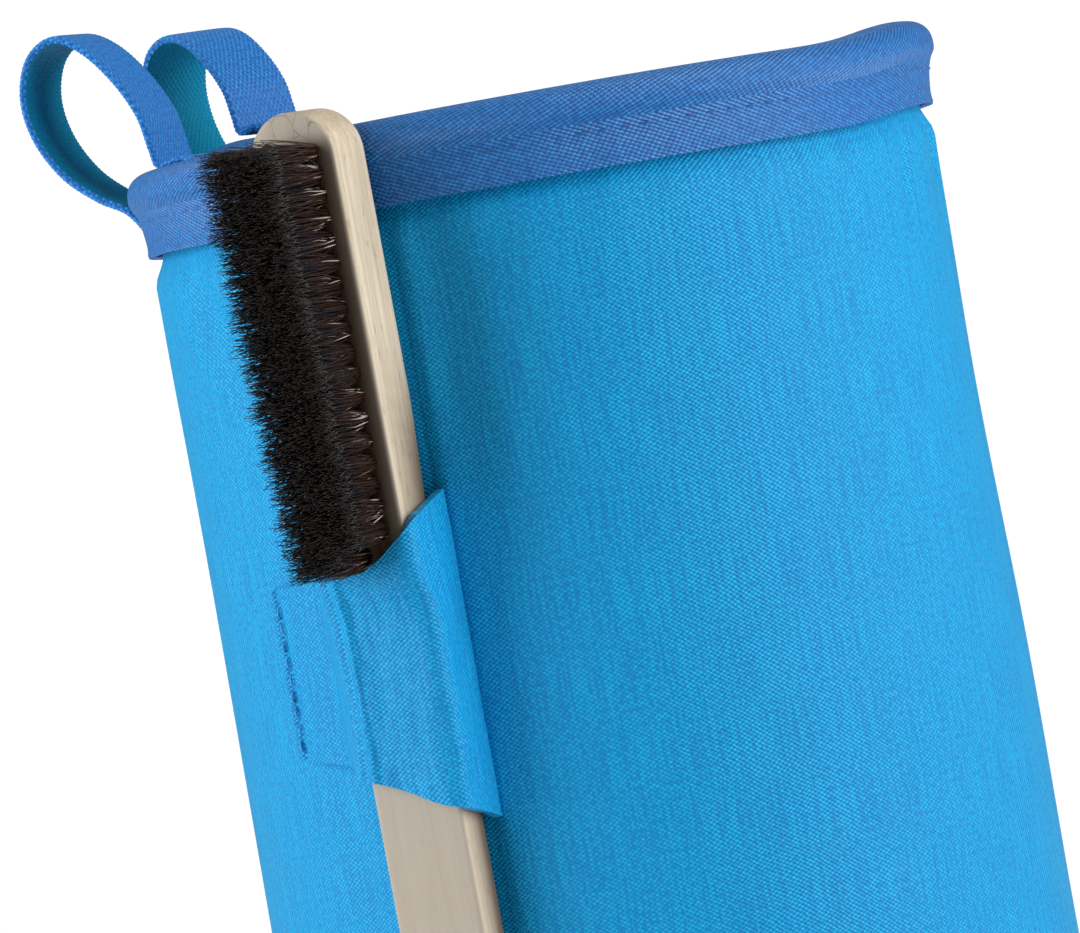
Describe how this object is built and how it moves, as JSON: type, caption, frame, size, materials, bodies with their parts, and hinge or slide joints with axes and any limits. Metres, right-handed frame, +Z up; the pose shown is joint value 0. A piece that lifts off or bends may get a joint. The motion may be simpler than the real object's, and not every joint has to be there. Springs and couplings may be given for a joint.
{
  "type": "climbing chalk bag with brush",
  "caption": "Round cloth chalk bag with a taped rim, two webbing belt loops, and a wooden bristle brush that slides up out of a cloth holder on its side.",
  "frame": {"origin": "centre of the base, on the surface that the bag stands on", "axes": "+Z up along the bag's axis, -Y to the bag's plain front, +Y to the belt loops, -X to the side that carries the brush"},
  "size_m": [0.1372, 0.1307, 0.1905],
  "materials": {
    "body_cloth": "woven blue nylon cloth, slight sheen",
    "holder_cloth": "woven blue nylon cloth, slight sheen",
    "rim_tape": "deep blue herringbone tape",
    "webbing": "deep blue ribbed webbing",
    "wood": "pale sanded beech",
    "bristle": "dark boar hair"
  },
  "bodies": {
    "bag": {"bag_body": "body_cloth", "base_panel": "body_cloth", "rim_band": "rim_tape", "belt_loop_1": "webbing", "belt_loop_2": "webbing", "brush_holder": "holder_cloth"},
    "brush": {"brush_handle": "wood", "brush_bristles": "bristle"}
  },
  "joints": [
    {"name": "brush_slide", "type": "slide", "parent": "bag", "child": "brush", "axis": [-0.0113, -0.0013, 0.9999], "range_m": [0, 0.115]}
  ]
}
